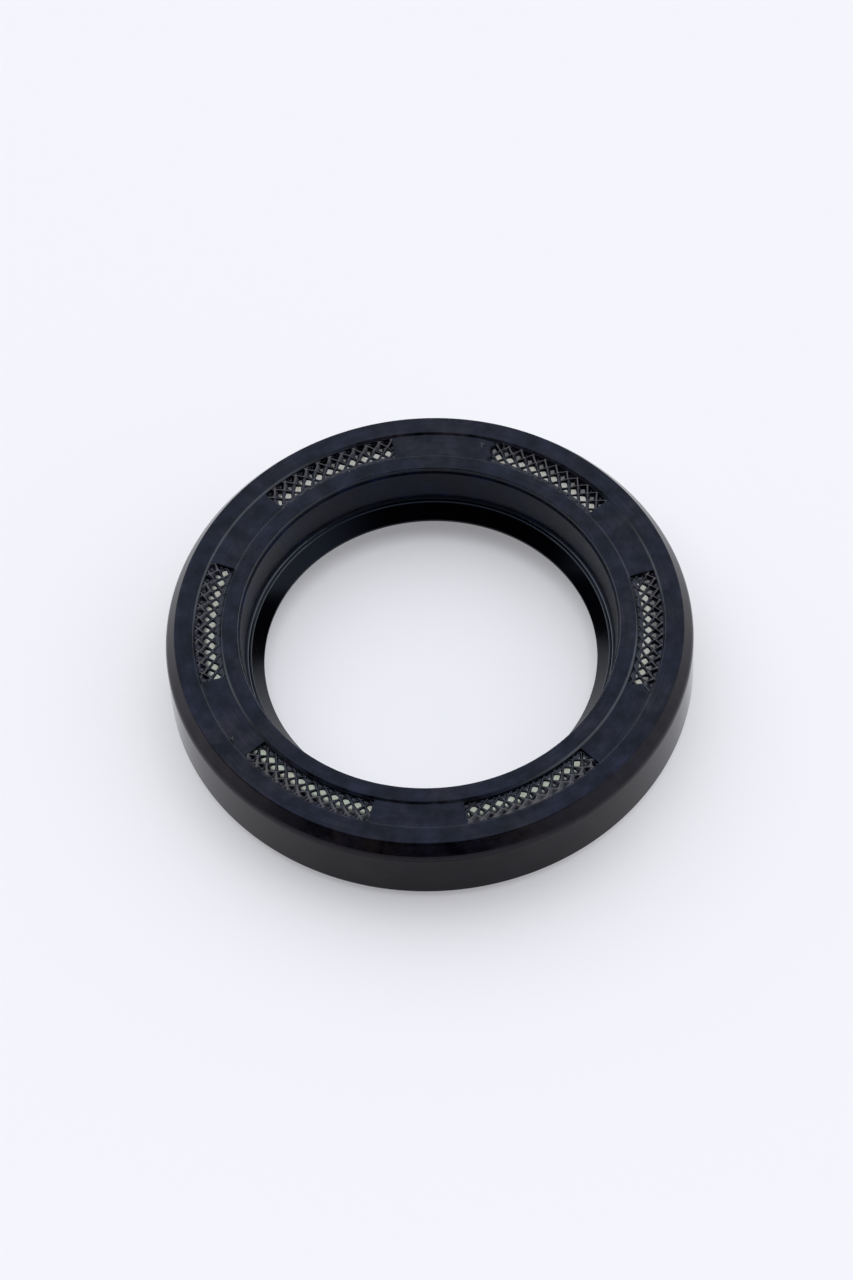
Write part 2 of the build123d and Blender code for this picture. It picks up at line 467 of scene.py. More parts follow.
def drawnWire():
    material, tree, output, place = newMaterial("drawn spring wire")
    look = wireLook
    values = {"Vector": place, **look["lines"]}
    lines = addNode(tree, "ShaderNodeTexNoise", values).outputs["Fac"]
    values = {"Value": lines, **noiseRange, **look["roughness"]}
    roughness = addNode(tree, "ShaderNodeMapRange", values).outputs["Result"]
    values = {"Base Color": linear(look["wire"]), "Metallic": look["metallic"]}
    shader = addNode(tree, "ShaderNodeBsdfPrincipled", {**values, "Roughness": roughness})
    tree.links.new(shader.outputs[0], output.inputs["Surface"])
    return material


rubberMaterials = [mouldedNitrile(name) for name in rubberFinishes]
steel = primedSteel()
wire = drawnWire()
print("materials made")


# Rubber moulding: one section turned about Z, with six openings through its air-side face.
# Chamfers, steps and the hook are given as width and height, the foot of the wall and the
# beads as places: out from the sealing edge, and up.
bodyShape = {
    "oilChamfer": (0.75, 1.2),
    "oilRoundings": (0.2, 0.4),
    "airChamfer": (1.15, 1.8),
    "airRoundings": (1.5, 0.18),  # at the foot of the chamfer and at the face
    "chamferGloss": 0.2,  # how far its finish runs on below the chamfer
    "bandOuter": 27.505,
    "bandInner": 24.505,
    "bandDepth": 0.25,
    "bandCorner": 0.008,
    "bandSlope": (0.23, 0.25),  # widths of the slopes at the band's outer and inner side
    "slopeRounding": 0.15,
    "faceInner": 22.4,
    "edgeRounding": 0.15,
    # The top share of a rounding is left without the edge finish's painted highlight
    "polishedFrom": 0.12,  # share of that rounding, counted from the top, that stays dull
    "edgeStep": (0.04, 0.55),
    "shoulder": (0.2, 0.15),
    "shoulderRoundings": (0.05, 0.08, 0.08),  # above it, below it and at the wall's foot
    "wallFoot": (2.06, 5.12),
    "beads": ((1.77, 5.08), (1.58, 4.88), (1.4, 4.84)),
    "beadRoundings": (0.12, 0.06, 0.05),
    # Reach of the edge finish's painted highlight on the beads
    "beadGleam": 0.07,  # how far from a bead's corner its polish reaches
    # The painted highlight on the beads is left off round the first of these angles, at the back
    # of the bore, and comes back between the next two, which are counted from there.
    "beadBloom": (93.0, 32.0, 58.0),
    "landRounding": 0.05,
    "lipEnd": 1.5,
    "lipEndRounding": 0.2,
    "grooveClearance": 0.05,
    "grooveHook": 0.55,
    "groovePoints": 30,
    "headTop": 4.75,
    "headRounding": 0.15,
    "neckTop": 5.45,
    "neckRounding": 0.3,
    "wallThickness": 1.0,
    "wallGrowth": 0.35,
    "heelThickness": 0.5,
    "heelRounding": 1.0,
    "heelEnd": 24.4,
    "sheet": 1.0,
    "bend": 2.0,
    "steelEdge": 23.6,
    "hook": (0.3, 1.6),
    "fineRounding": 0.05,
}
openingShape = {
    "count": 6,
    "halfAngle": 18.0,
    "ledge": 0.06,  # of the band, between an opening and the slopes
    "edgeRounding": 0.04,
    "edgeSteps": 4,
    "footing": 0.01,  # height of the lowest ring of points over the steel
    "columns": 36,
    "gapColumns": 24,
    "rows": 4,
}


# The section as a closed line: up from the spring's groove, round the steel ring, over the
# outside and the air-side face, down the bore, round the lip and back along the groove
def bodySection():
    shape, fine = bodyShape, bodyShape["fineRounding"]
    outer, top, lip = seal["outer"], seal["top"], seal["lip"]
    steelTop, steelOuter = seal["steelTop"], seal["steelOuter"]
    web, steelInner = steelTop - shape["sheet"], steelOuter - shape["sheet"]
    band = top - shape["bandDepth"]
    head = seal["springRadius"] + shape["grooveHook"]
    groove = seal["springWidth"] / 2 + shape["grooveClearance"]
    mouth = math.sqrt(groove**2 - shape["grooveHook"] ** 2)
    foot = lip + shape["wallFoot"][0]
    neck = foot + shape["wallThickness"]
    heelFloor = web - shape["heelThickness"]
    step = shape["faceInner"] - shape["edgeStep"][0]
    stepHeight = top - shape["edgeStep"][1]
    landTop = seal["lipHeight"] + seal["lipLand"] / 2
    landBottom = seal["lipHeight"] - seal["lipLand"] / 2
    underEdge, underShoulder, atFoot = shape["shoulderRoundings"]
    radii = openingRadii()
    behindSteel = [
        (head, seal["springHeight"] + mouth, 0),
        (head, shape["headTop"], shape["headRounding"]),
        (neck, shape["neckTop"], shape["neckRounding"]),
        (neck + shape["wallGrowth"], heelFloor, shape["heelRounding"]),
        (shape["heelEnd"], heelFloor, fine),
        (shape["heelEnd"], web, 0),
        (shape["steelEdge"], web, fine),
        (shape["steelEdge"], steelTop, fine),
    ]
    roundSteel = [
        (steelOuter, steelTop, shape["bend"]),
        (steelOuter, seal["steelEnd"], fine),
        (steelInner, seal["steelEnd"], fine),
        (steelInner, shape["hook"][1], 0),
        (steelInner - shape["hook"][0], shape["hook"][1], fine),
        (steelInner - shape["hook"][0], 0, fine),
    ]
    outside = [
        (outer - shape["oilChamfer"][0], 0, shape["oilRoundings"][0]),
        (outer, shape["oilChamfer"][1], shape["oilRoundings"][1]),
        (outer, top - shape["airChamfer"][1], shape["airRoundings"][0]),
        (outer - shape["airChamfer"][0], top, shape["airRoundings"][1]),
        (shape["bandOuter"] + shape["bandSlope"][0], top, shape["slopeRounding"]),
        (shape["bandOuter"], band, shape["bandCorner"]),
    ]
    bore = [
        (shape["bandInner"], band, shape["bandCorner"]),
        (shape["bandInner"] - shape["bandSlope"][1], top, shape["slopeRounding"]),
        (shape["faceInner"], top, shape["edgeRounding"]),
        (step, stepHeight, underEdge),
        (step - shape["shoulder"][0], stepHeight - shape["shoulder"][1], underShoulder),
        (foot, shape["wallFoot"][1], atFoot),
    ]
    beads = [
        (lip + width, height, rounding)
        for (width, height), rounding in zip(shape["beads"], shape["beadRoundings"])
    ]
    lipCorners = [
        (lip, landTop, shape["landRounding"]),
        (lip, landBottom, shape["landRounding"]),
        (lip + landBottom - shape["lipEnd"], shape["lipEnd"], shape["lipEndRounding"]),
        (head, shape["lipEnd"], shape["lipEndRounding"]),
        (head, seal["springHeight"] - mouth, 0),
    ]
    line = roundedLine(
        behindSteel
        + [(radius, steelTop, 0) for radius in radii[::-1]]
        + roundSteel
        + outside
        + [(radius, band, 0) for radius in radii]
        + bore
        + beads
        + lipCorners
    )
    turn = math.pi - math.atan2(mouth, shape["grooveHook"])
    sweep = np.linspace(-turn, turn, shape["groovePoints"])[1:-1]
    arc = np.stack(
        [
            seal["springRadius"] - groove * np.cos(sweep),
            seal["springHeight"] + groove * np.sin(sweep),
        ],
        axis=-1,
    )
    return np.vstack([line, arc])


# Radii of the rings of points across an opening, from the outside inwards
def openingRadii():
    edge = openingShape["ledge"] - openingShape["edgeRounding"]
    outer, inner = bodyShape["bandOuter"] - edge, bodyShape["bandInner"] + edge
    return np.linspace(outer, inner, openingShape["rows"])


# Angles of the columns of points: each opening with its rounded ends, then a plain stretch
def columnAngles():
    middle = (bodyShape["bandOuter"] + bodyShape["bandInner"]) / 2
    half = math.radians(openingShape["halfAngle"]) + openingShape["edgeRounding"] / middle
    pitch = 2 * math.pi / openingShape["count"]
    opening = np.linspace(-half, half, openingShape["columns"] + 1)
    plain = np.linspace(half, pitch - half, openingShape["gapColumns"] + 1)[1:-1]
    oneSixth = np.concatenate([opening, plain])
    return (oneSixth[None] + np.arange(openingShape["count"])[:, None] * pitch).ravel()


# Point numbers round the edge of a block of rows and columns
def edgeLoop(rows, columns):
    first = np.stack(np.broadcast_arrays(rows[0], columns[:-1]))
    second = np.stack(np.broadcast_arrays(rows[:-1], columns[-1]))
    third = np.stack(np.broadcast_arrays(rows[-1], columns[:0:-1]))
    fourth = np.stack(np.broadcast_arrays(rows[:0:-1], columns[0]))
    return np.hstack([first, second, third, fourth])


# Rows of the section's points that lie nearest the radii of an opening's rings of points
def rowsAt(section, height):
    gaps = np.hypot(section[:, :1] - openingRadii(), section[:, 1:] - height)
    return np.argmin(gaps, axis=0)


# Number of the finish of each face of the turned section. Edges take a lighter, glossier
# finish that paints highlight lines on their roundings, partly the real gloss of handling and of
# the mould's parting.
def bodyFinish(section, angles):
    shape, band = bodyShape, seal["top"] - bodyShape["bandDepth"]
    halfway = (section + np.roll(section, -1, axis=0)) / 2
    radius, height = halfway[:, 0], halfway[:, 1]
    chamferWidth, chamferHeight = shape["airChamfer"]
    above = height > seal["top"] - chamferHeight - shape["chamferGloss"]
    onChamfer = radius > seal["outer"] - chamferWidth
    onTop = np.where(onChamfer, finishOf["chamfer"], finishOf["face"])
    inside = np.where(height > shape["wallFoot"][1], finishOf["bore"], finishOf["lip"])
    finish = np.where(above, onTop, finishOf["wall"])
    finish = np.where(radius < shape["faceInner"], inside, finish)
    beyondBand = np.maximum(
        radius - shape["bandOuter"] - shape["bandSlope"][0],
        shape["bandInner"] - shape["bandSlope"][1] - radius,
    )
    finish[above & (beyondBand < 0) & (height > band + shape["bandCorner"])] = finishOf["edge"]
    finish = np.repeat(finish[:, None], len(angles), axis=1)
    # Painted highlight on the beads: none round the back of the bore, full again on the left and
    # right
    dullest, dull, clear = np.radians(shape["beadBloom"])
    gleam = np.clip((np.abs(angles - dullest) - dull) / (clear - dull), 0, 1)
    edges = [(shape["faceInner"], seal["top"], np.full(len(angles), shape["edgeRounding"]))]
    edges += [
        (seal["lip"] + width, beadHeight, shape["beadGleam"] * gleam)
        for width, beadHeight in (shape["beads"][0], shape["beads"][2])
    ]
    depth = seal["top"] - height[:, None]
    # Painted highlight: the edge finish goes on the roundings near these edges, partly real polish
    for edgeRadius, edgeHeight, reach in edges:
        away = np.abs(halfway - [edgeRadius, edgeHeight]).max(axis=1)[:, None]
        polishedAndHighlighted = (away < reach) & (depth > shape["polishedFrom"] * reach)
        finish[polishedAndHighlighted] = finishOf["edge"]
    return finish


# Turns the section through every column's angle. Where a face of the band or of the rubber
# under it lies in an opening it is left out, and rings of points join the two edges: first
# a quarter round, z = band - b (1 - cos t) and offset b sin t, then the straight wall.
def makeBody():
    section, angles = bodySection(), columnAngles()
    numbers = np.arange(len(section) * len(angles)).reshape(len(section), len(angles))
    closed = np.pad(numbers, ((0, 1), (0, 1)), mode="wrap")
    keep = np.ones(numbers.shape, bool)
    band = seal["top"] - bodyShape["bandDepth"]
    topRows, lowRows = rowsAt(section, band), rowsAt(section, seal["steelTop"])
    radii, rounding = openingRadii(), openingShape["edgeRounding"]
    reach = math.radians(openingShape["halfAngle"])
    stride = openingShape["columns"] + openingShape["gapColumns"]
    bend = np.linspace(0, math.pi / 2, openingShape["edgeSteps"] + 1)[1:]
    shares = np.concatenate([np.sin(bend), [1.0, 1.0]])
    straight = [2 * rounding, band - seal["steelTop"] - openingShape["footing"]]
    depths = np.concatenate([rounding * (1 - np.cos(bend)), straight])
    points = [turned(section[:, :1], angles[None], section[:, 1:])]
    walls = []
    count = numbers.size
    for opening in range(openingShape["count"]):
        columns = opening * stride + np.arange(openingShape["columns"] + 1)
        keep[topRows[0] : topRows[-1], columns[0] : columns[-1]] = False
        keep[lowRows[-1] : lowRows[0], columns[0] : columns[-1]] = False
        topEdge = edgeLoop(topRows, columns)
        lowEdge = edgeLoop(lowRows, columns)
        radius = section[topEdge[0], 0]
        angle = angles[topEdge[1]]
        centre = opening * 2 * math.pi / openingShape["count"]
        inRadius = np.clip(radius, radii[-1] + rounding, radii[0] - rounding)
        inAngle = centre + np.clip(angle - centre, -reach, reach)
        ringRadius = radius + shares[:, None] * (inRadius - radius)
        ringAngle = angle + shares[:, None] * (inAngle - angle)
        points.append(turned(ringRadius, ringAngle, band - depths[:, None]))
        rings = count + np.arange(shares.size * radius.size).reshape(shares.size, -1)
        count += rings.size
        top, low = numbers[topEdge[0], topEdge[1]], numbers[lowEdge[0], lowEdge[1]]
        wall = np.vstack([top, rings, low])
        walls.append(gridFaces(np.pad(wall, ((0, 0), (0, 1)), mode="wrap")))
    faces = gridFaces(closed).reshape(*keep.shape, 4)[keep]
    materials = rubberMaterials[: finishOf["lattice"]]
    body = meshFrom("sealBody", np.vstack(points), [faces] + walls, materials)
    finish = bodyFinish(section, angles)[keep]
    rest = len(body.data.polygons) - len(finish)
    finish = np.pad(finish, (0, rest), constant_values=finishOf["face"])
    body.data.polygons.foreach_set("material_index", finish.astype(np.int32))
    weighNormals(body)
    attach(body, "root")
    return body


sealBody = makeBody()
print("rubber body made", len(sealBody.data.polygons), "faces")


# Lattice of rubber ribs on the floor of each opening, moulded with the body. The mould's
# ridged pads never press equally, so each opening has its own creep of rubber.
latticeShape = {
    "crossingRadius": 25.585,
    "pitch": 360 / 108,
    "firstCell": 1.9,  # from the end of an opening to its first cell's middle, in degrees
    "spare": 3,  # crossings past each end, whose ribs reach into the corners
    "shift": (0.13, 0.13),  # the pads sit this far off the ring's axis
    "ribHeight": (0.19, 0.46),  # low over the steel, higher up to the outer wall
    "ribHalfWidth": 0.175,
    "ribRise": (25.7, 26.9),
    "ribRounding": 0.06,
    "cornerRounding": 0.08,
    "filmThickness": 0.06,
    "filmFeather": 0.16,
    "filmBlend": 0.05,
    "fillRamp": 0.35,
    "innerFilm": 25.12,
    "raggedness": 0.06,
    "raggedWave": 1.6,
    "raggedSeed": 20,
    "creep": 0.035,
    "creepWave": 1.1,
    "creepSeed": 40,
    "overrun": 0.08,  # how far the block runs on into the walls around it
    "sunk": 0.03,  # how far bare spots lie below the steel's surface
    "radialSteps": 49,
    "angularSteps": 262,
}
# For each opening: where the outer film starts in the middle and how much further out at
# the end of higher angle, the degrees that rubber covers at that end and at the other, how
# much wider the ribs grow outwards in the middle, towards that end and between the ends, and
# how high rubber has filled the two covered ends
creepOfOpening = (
    (26.6, 0.0, 2.0, 1.5, 0.22, 0.0, -0.08, 0.0, 0.42),
    (26.9, 0.0, 2.6, 0.1, 0.16, 0.0, 0.0, 0.46, 0.0),
    (26.8, 0.0, 1.2, 0.8, 0.27, 0.0, 0.0, 0.0, 0.0),
    (26.6, 0.06, 0.2, 0.3, 0.27, -0.07, 0.0, 0.0, 0.0),
    (26.6, 0.0, 0.3, 0.2, 0.36, 0.0, 0.0, 0.0, 0.0),
    (26.5, 0.0, 1.2, 0.5, 0.44, -0.04, 0.1, 0.0, 0.0),
)


# Smooth maximum of two heights: the larger, plus (k - |a - b|)^2 / 4k where they are close
def smoothMax(first, second, reach):
    near = np.clip(reach - np.abs(first - second), 0, None)
    return np.maximum(first, second) + near**2 / (4 * reach)


# From 0 to 1 between two places, as 3t^2 - 2t^3
def smoothStep(place, start, end):
    t = np.clip((place - start) / (end - start), 0, 1)
    return t * t * (3 - 2 * t)


# Sum of a few sine waves with seeded directions and lengths, mostly between -1 and 1
def waviness(x, y, size, seed, waves=7, sizeRange=(0.6, 1.6)):
    chance = np.random.default_rng(seed)
    heading = chance.uniform(0, 2 * math.pi, waves)
    length = size * chance.uniform(*sizeRange, waves)
    phase = chance.uniform(0, 2 * math.pi, waves)
    across = x[..., None] * np.cos(heading) + y[..., None] * np.sin(heading)
    return np.sin(across * 2 * math.pi / length + phase).sum(-1) / math.sqrt(waves)


# Height of the rubber over the steel: two families of straight ribs through a row of
# crossings, height = H (1 - d / half width) + creep at distance d from a rib's line, rounded
# at the crest, where H and the width grow towards the outer wall. Films with feathered edges
# lie along both sides and, twice as ragged, both ends.
def latticeHeight(radius, angle, opening):
    shape = latticeShape
    halfAngle = openingShape["halfAngle"]
    start = shape["firstCell"] - halfAngle - shape["pitch"] / 2
    count = int(2 * halfAngle / shape["pitch"]) + 2 * shape["spare"] + 1
    crossings = np.radians(start + (np.arange(count) - shape["spare"]) * shape["pitch"])
    turn = 2 * math.pi * opening / openingShape["count"]
    shiftX, shiftY = shape["shift"]
    x = radius * np.cos(angle) - shiftX * math.cos(turn) - shiftY * math.sin(turn)
    y = radius * np.sin(angle) + shiftX * math.sin(turn) - shiftY * math.cos(turn)
    filmStart, slope, highEnd, lowEnd, *growths, highFill, lowFill = creepOfOpening[opening]
    place = np.degrees(angle) / halfAngle
    rise = smoothStep(radius, *shape["ribRise"])
    peak = shape["ribHeight"][0] + rise * (shape["ribHeight"][1] - shape["ribHeight"][0])
    growth = growths[0] + growths[1] * place + growths[2] * (1 - place**2)
    half = shape["ribHalfWidth"] + rise * growth
    creep = shape["creep"] * waviness(x, y, shape["creepWave"], shape["creepSeed"] + opening)
    ribs = []
    for side in (1, -1):
        nearest = np.full(radius.shape, np.inf)
        for crossing in crossings:
            out = x * math.cos(crossing) + y * math.sin(crossing) - shape["crossingRadius"]
            along = y * math.cos(crossing) - x * math.sin(crossing)
            nearest = np.minimum(nearest, np.abs(out - side * along) / math.sqrt(2))
        nearest = np.hypot(nearest, shape["ribRounding"]) - shape["ribRounding"] / 2
        ribs.append(peak * (1 - nearest / half) + creep)
    lattice = smoothMax(ribs[0], ribs[1], shape["cornerRounding"])
    edge = filmStart + slope * place
    ragged = waviness(x, y, shape["raggedWave"], shape["raggedSeed"] + opening)
    ragged *= shape["raggedness"]
    degree = math.radians(1) * shape["crossingRadius"]
    pastHigh = (place * halfAngle - halfAngle + highEnd) * degree + 2 * ragged
    pastLow = (-place * halfAngle - halfAngle + lowEnd) * degree + 2 * ragged
    beyond = np.maximum.reduce(
        [radius - edge + ragged, shape["innerFilm"] - radius + ragged, pastHigh, pastLow]
    )
    film = shape["filmThickness"] * np.clip(beyond / shape["filmFeather"], -1, 1)
    level = smoothMax(lattice, film, shape["filmBlend"])
    for past, fill in ((pastHigh, highFill), (pastLow, lowFill)):
        share = smoothStep(past, 0, shape["fillRamp"]) * (fill > 0)
        level = level + (fill - level) * share
    return level


# One block of rubber for each opening: the heights on top, and flat below, inside the steel.
# An end that rubber has filled takes the face's finish.
def makeLattice():
    shape = latticeShape
    inner = bodyShape["bandInner"] + openingShape["ledge"] - shape["overrun"]
    outer = bodyShape["bandOuter"] - openingShape["ledge"] + shape["overrun"]
    half = math.radians(openingShape["halfAngle"]) + shape["overrun"] / inner
    radius, angle = np.meshgrid(
        np.linspace(inner, outer, shape["radialSteps"] + 1),
        np.linspace(-half, half, shape["angularSteps"] + 1),
        indexing="ij",
    )
    numbers = np.arange(radius.size).reshape(radius.shape)
    edge = edgeLoop(np.arange(radius.shape[0]), np.arange(radius.shape[1]))
    edgeNumbers = numbers[edge[0], edge[1]]
    points, quads, floors, filled = [], [], [], []
    fromHigh = openingShape["halfAngle"] - np.degrees(angle[1:, 1:])
    fromLow = openingShape["halfAngle"] + np.degrees(angle[1:, 1:])
    count = 0
    for opening in range(openingShape["count"]):
        centre = opening * 2 * math.pi / openingShape["count"]
        height = np.maximum(latticeHeight(radius, angle, opening), -shape["sunk"])
        points.append(turned(radius, angle + centre, seal["steelTop"] + height))
        low = turned(radius, angle + centre, seal["steelTop"] - 2 * shape["sunk"])[edgeNumbers]
        points.append(low)
        lowNumbers = count + radius.size + np.arange(len(edgeNumbers))
        quads.append(gridFaces(count + numbers)[:, ::-1])
        side = np.vstack([count + edgeNumbers, lowNumbers])
        quads.append(gridFaces(np.pad(side, ((0, 0), (0, 1)), mode="wrap")))
        floors.append(lowNumbers[None])
        _, _, highEnd, lowEnd, *_, highFill, lowFill = creepOfOpening[opening]
        fill = (fromHigh < highEnd) & (highFill > 0) | (fromLow < lowEnd) & (lowFill > 0)
        filled += [fill.ravel(), np.zeros(len(edgeNumbers), bool)]
        count += radius.size + len(edgeNumbers)
    faceRows = [np.vstack(quads), np.vstack(floors)]
    finishes = [rubberMaterials[finishOf[name]] for name in ("lattice", "face")]
    lattice = meshFrom("openingLattice", np.vstack(points), faceRows, finishes)
    filled = np.concatenate(filled).astype(np.int32)
    rest = len(lattice.data.polygons) - len(filled)
    lattice.data.polygons.foreach_set("material_index", np.pad(filled, (0, rest)))
    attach(lattice, "root")
    return lattice


openingLattice = makeLattice()
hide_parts("elastomer_body")
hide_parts("elastomer_body")
print("lattice made", len(openingLattice.data.polygons), "faces")


# Hairs of flash, left where the mould's pads met. Each row is the angle, radius and height
# of the root, the same of the tip, and how far the middle bows sideways.
hairShape = {"thickness": (0.15, 0.08), "steps": 12, "sides": 8}
hairs = np.array(
    [
        (73.1, 26.9, 9.6, 73.5, 27.43, 9.96, 0.03),
        (78.95, 27.05, 9.76, 77.75, 26.68, 9.79, 0.14),
        (79.3, 26.9, 9.76, 78.6, 26.2, 9.78, -0.08),
        (343.4, 26.45, 9.62, 341.5, 27.42, 9.92, -0.05),
        (215.6, 27.4, 9.77, 217.3, 27.1, 9.8, 0.09),
        (215.9, 27.1, 9.77, 216.6, 27.45, 9.8, -0.03),
    ]
)


# A hair runs straight from root to tip but for a bow of 4 t (1 - t) sideways, and its round
# section shrinks evenly from the first thickness to the second
def makeHairs():
    rootAngle, rootRadius, rootHeight, tipAngle, tipRadius, tipHeight, bow = hairs.T
    root = turned(rootRadius, np.radians(rootAngle), rootHeight)[:, None]
    tip = turned(tipRadius, np.radians(tipAngle), tipHeight)[:, None]
    run = (tip - root) / np.linalg.norm(tip - root, axis=-1, keepdims=True)
    sideways = np.cross(run, [0.0, 0.0, 1.0])
    sideways /= np.linalg.norm(sideways, axis=-1, keepdims=True)
    lifted = np.cross(run, sideways)
    t = np.linspace(0, 1, hairShape["steps"] + 1)[:, None]
    middle = root + t * (tip - root) + 4 * bow[:, None, None] * t * (1 - t) * sideways
    thick, thin = hairShape["thickness"]
    spin = np.linspace(0, 2 * math.pi, hairShape["sides"], endpoint=False)[:, None]
    around = np.cos(spin) * sideways[:, :, None] + np.sin(spin) * lifted[:, :, None]
    skin = middle[:, :, None] + (thick + t * (thin - thick))[:, :, None] / 2 * around
    numbers = np.arange(skin[..., 0].size).reshape(skin.shape[:3])
    tubes = [gridFaces(np.pad(hair, ((0, 0), (0, 1)), mode="wrap")) for hair in numbers]
    faceRows = [np.vstack(tubes), numbers[:, -1], numbers[:, 0, ::-1]]
    materials = [rubberMaterials[finishOf["edge"]]]
    flash = meshFrom("flashHairs", skin.reshape(-1, 3), faceRows, materials)
    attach(flash, "root")
    return flash


flashHairs = makeHairs()
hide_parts("elastomer_body")
print("flash made", len(flashHairs.data.polygons), "faces")


# Pressed steel ring, kept as packed
for slot in frame["nodes"]["metal_case"].material_slots:
    slot.material = steel


# Garter spring: a close-wound coil bent round into a ring
springShape = {
    "wire": 0.34,
    "gap": 0.015,
    "aroundCoil": 14,
    "aroundWire": 6,
    "nudge": 1e-3,  # radians of winding, to each side of a point, over which its run is taken
}


# The wire's centre winds round the ring: r = R + c cos t, z = Z + c sin t at angle t / turns,
# and the wire's skin is a circle in the plane across its run
def makeSpring():
    shape = springShape
    coil = seal["springWidth"] / 2 - shape["wire"] / 2
    innerLength = 2 * math.pi * (seal["springRadius"] - coil)
    turns = int(innerLength / (shape["wire"] + shape["gap"]))
    steps = turns * shape["aroundCoil"]
    wind = np.linspace(0, 2 * math.pi * turns, steps, endpoint=False)

    def centreLine(t):
        angle = t / turns
        radius = seal["springRadius"] + coil * np.cos(t)
        return np.stack(
            [
                radius * np.cos(angle),
                radius * np.sin(angle),
                seal["springHeight"] + coil * np.sin(t),
            ],
            axis=-1,
        )

    middle = centreLine(wind)
    run = centreLine(wind + shape["nudge"]) - centreLine(wind - shape["nudge"])
    run /= np.linalg.norm(run, axis=-1, keepdims=True)
    ring = np.stack([np.cos(wind / turns), np.sin(wind / turns), 0 * wind], axis=-1)
    outward = middle - (ring * seal["springRadius"] + [0, 0, seal["springHeight"]])
    outward -= (outward * run).sum(-1, keepdims=True) * run
    outward /= np.linalg.norm(outward, axis=-1, keepdims=True)
    sideways = np.cross(run, outward)
    spin = np.linspace(0, 2 * math.pi, shape["aroundWire"], endpoint=False)[:, None]
    around = np.cos(spin) * outward[:, None] + np.sin(spin) * sideways[:, None]
    skin = middle[:, None] + shape["wire"] / 2 * around
    numbers = np.arange(steps * shape["aroundWire"]).reshape(steps, -1)
    faces = gridFaces(np.pad(numbers, ((0, 1), (0, 1)), mode="wrap"))
    spring = meshFrom("garterCoil", skin.reshape(-1, 3), [faces], [wire])
    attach(spring, "root")
    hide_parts("garter_spring")
    return spring, turns


garterCoil, coilTurns = makeSpring()
print("spring wound", coilTurns, "turns", len(garterCoil.data.polygons), "faces")


# Floor, light and camera. Sides are angles round the ring, and shares of light are linear.
studio = {
    "turn": 5.7,
    "floor": "#f7f7f9",
    "backdrop": "#f8f9fd",
    "floorSize": 6000.0,
    "glow": "#f3f3f8",
    "glowInside": 0.25,
    "frontSide": 264.3,  # the side that the camera looks from
    # By the cosine of the angle to that side
    "glowOutside": {"From Min": 0.5, "From Max": 0.95, "To Min": 0.42, "To Max": 0.34},
    "screens": (1.13, 1.15, 1.22, 1.0),
    "room": (0.004, 0.004, 0.006, 1.0),
    "darkSide": {"azimuth": 242.0, "elevation": 28.0},
    "darkReach": (40.0, 84.0),
    "overhead": (0.76, 0.77, 0.8, 1.0),  # what a wide soft box adds
    "overheadSide": {"azimuth": 125.0, "elevation": 68.0},
    "overheadReach": (41.0, 51.0),
}
studioTurn = Matrix.Rotation(math.radians(studio["turn"]), 4, "Z")


# Pale paper. Its glow is painted light: seen by the camera and mirrored in the rubber, it
# lights nothing but lifts the ring's shadow, and it is weaker in the ring's hole and in front of
# it.
def makeFloor():
    material, tree, output, place = newMaterial("pale paper")
    paper = addNode(tree, "ShaderNodeBsdfDiffuse", {"Color": linear(studio["floor"])})
    # Painted light: the glow that lifts the ring's shadow on the paper
    lit = addNode(tree, "ShaderNodeEmission", {"Color": linear(studio["glow"])})
    path = addNode(tree, "ShaderNodeLightPath").outputs
    values = {"operation": "MAXIMUM", 0: path["Is Camera Ray"], 1: path["Is Glossy Ray"]}
    seen = addNode(tree, "ShaderNodeMath", values).outputs[0]
    _, radius = levelAndRadius(tree, place)
    side = math.radians(studio["frontSide"])
    values = {"operation": "DOT_PRODUCT", 0: place, 1: (math.cos(side), math.sin(side), 0)}
    ahead = addNode(tree, "ShaderNodeVectorMath", values).outputs["Value"]
    values = {"operation": "DIVIDE", 0: ahead, 1: radius}
    heading = addNode(tree, "ShaderNodeMath", values).outputs[0]
    values = {"Value": heading, **studio["glowOutside"]}
    outside = addNode(tree, "ShaderNodeMapRange", values).outputs["Result"]
    lip, outer = seal["lip"] * millimetre, seal["outer"] * millimetre
    values = {"Value": radius, "From Min": lip, "From Max": outer}
    isOutside = addNode(tree, "ShaderNodeMapRange", values).outputs["Result"]
    values = {"data_type": "FLOAT", 0: isOutside, 2: studio["glowInside"], 3: outside}
    strength = addNode(tree, "ShaderNodeMix", values).outputs[0]
    values = {"operation": "MULTIPLY", 0: seen, 1: strength}
    share = addNode(tree, "ShaderNodeMath", values).outputs[0]
    values = {0: share, 1: paper.outputs[0], 2: lit.outputs[0]}
    shader = addNode(tree, "ShaderNodeMixShader", values)
    tree.links.new(shader.outputs[0], output.inputs["Surface"])
    half = studio["floorSize"] / 2
    corners = np.array([(-half, -half, 0), (half, -half, 0), (half, half, 0), (-half, half, 0)])
    floor = meshFrom("floor", corners, [np.arange(4)[None]], [material])


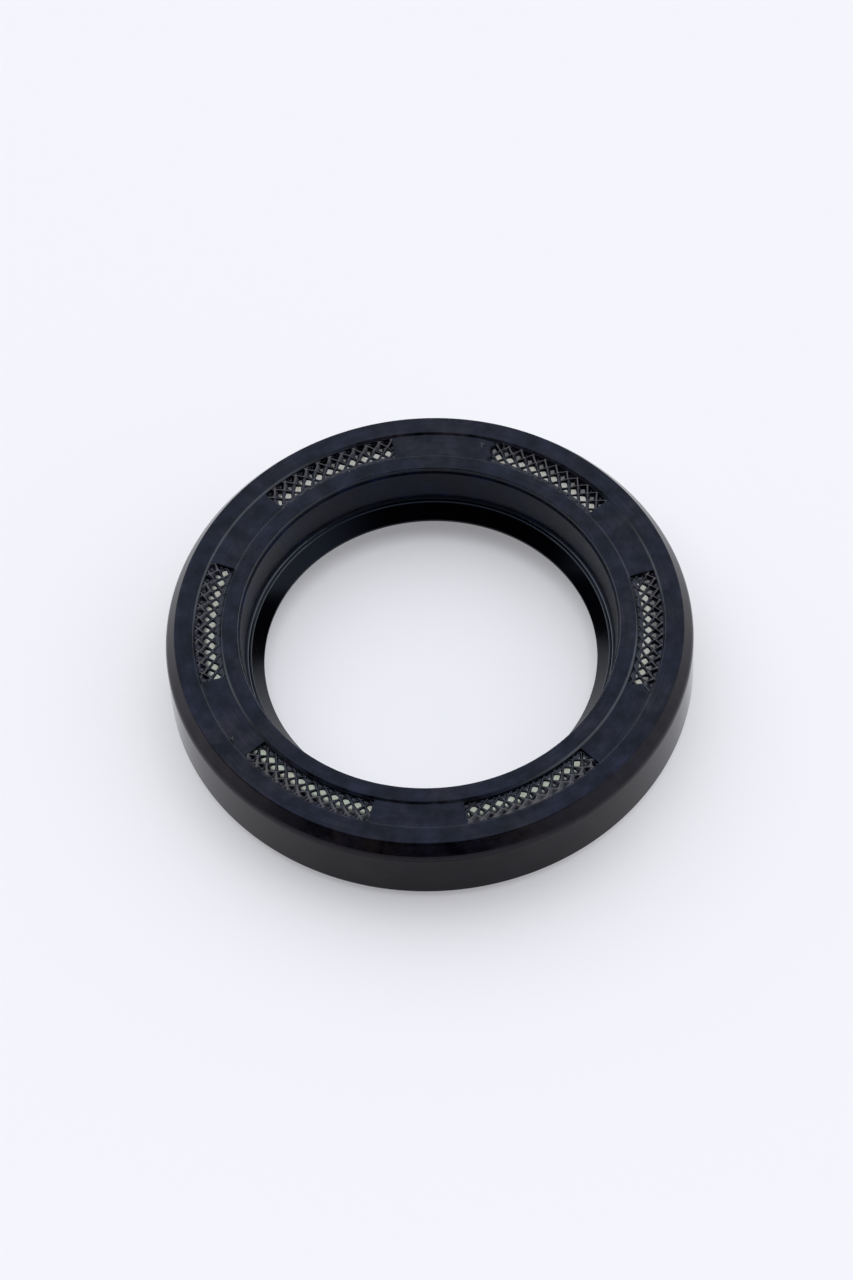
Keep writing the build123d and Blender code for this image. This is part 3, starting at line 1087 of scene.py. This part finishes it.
# Light all round from white screens, and one dark side where the room shows past the front
# of the table: screens (1 - s) + room s, with s a smooth step on the cosine of the angle to
# that side's middle. A wide soft box overhead adds its share in the same way.
def makeWorld():
    world = bpy.data.worlds.new("studio")
    bpy.context.scene.world = world
    world.use_nodes = True
    tree = world.node_tree
    tree.nodes.clear()
    direction = addNode(tree, "ShaderNodeTexCoord").outputs["Generated"]

    # From 0 to 1 towards a side given by its azimuth and elevation
    def towards(side, reach):
        azimuth, elevation = [math.radians(value) for value in side.values()]
        level = math.cos(elevation)
        middle = (level * math.cos(azimuth), level * math.sin(azimuth), math.sin(elevation))
        middle = studioTurn.to_3x3() @ Vector(middle)
        values = {"operation": "DOT_PRODUCT", 0: direction, 1: middle}
        nearness = addNode(tree, "ShaderNodeVectorMath", values)
        inner, outer = [math.cos(math.radians(angle)) for angle in reach]
        values = {"interpolation_type": "SMOOTHSTEP", "Value": nearness.outputs["Value"]}
        values.update({"From Min": outer, "From Max": inner})
        return addNode(tree, "ShaderNodeMapRange", values).outputs["Result"]

    darkness = towards(studio["darkSide"], studio["darkReach"])
    values = {"data_type": "RGBA", 0: darkness, 6: studio["screens"], 7: studio["room"]}
    allRound = addNode(tree, "ShaderNodeMix", values)
    box = towards(studio["overheadSide"], studio["overheadReach"])
    values = {"data_type": "RGBA", "blend_type": "ADD", 0: box}
    values.update({6: allRound.outputs[2], 7: studio["overhead"]})
    withBox = addNode(tree, "ShaderNodeMix", values)
    lit = addNode(tree, "ShaderNodeBackground", {"Color": withBox.outputs[2]})
    seen = addNode(tree, "ShaderNodeBackground", {"Color": linear(studio["backdrop"])})
    path = addNode(tree, "ShaderNodeLightPath").outputs
    values = {0: path["Is Camera Ray"], 1: lit.outputs[0], 2: seen.outputs[0]}
    pick = addNode(tree, "ShaderNodeMixShader", values)
    output = addNode(tree, "ShaderNodeOutputWorld")
    tree.links.new(pick.outputs[0], output.inputs["Surface"])


# Millimetres, but for the near and far ends of what it sees, in metres
cameraPlace = {
    "position": (-0.3705, -321.408, 494.06),
    "right": (0.99794728, -0.05345875, -0.0352617),
    "up": (0.06404081, 0.83304718, 0.54948264),
    "lens": 139.626,
    "sensor": 36.0,
    "clip": (0.05, 20.0),
}


def makeCamera():
    data = bpy.data.cameras.new("camera")
    data.sensor_width = cameraPlace["sensor"]
    data.lens = cameraPlace["lens"]
    data.clip_start, data.clip_end = cameraPlace["clip"]
    right = Vector(cameraPlace["right"]).normalized()
    up = Vector(cameraPlace["up"])
    up = (up - right * up.dot(right)).normalized()
    axes = Matrix((right, up, right.cross(up))).transposed().to_4x4()
    place = Matrix.Translation(Vector(cameraPlace["position"]) * millimetre)
    camera = bpy.data.objects.new("camera", data)
    camera.matrix_world = studioTurn @ place @ axes
    bpy.context.scene.collection.objects.link(camera)
    bpy.context.scene.camera = camera


makeFloor()
makeWorld()
makeCamera()
bpy.context.scene.view_settings.view_transform = "Standard"
print("studio set")
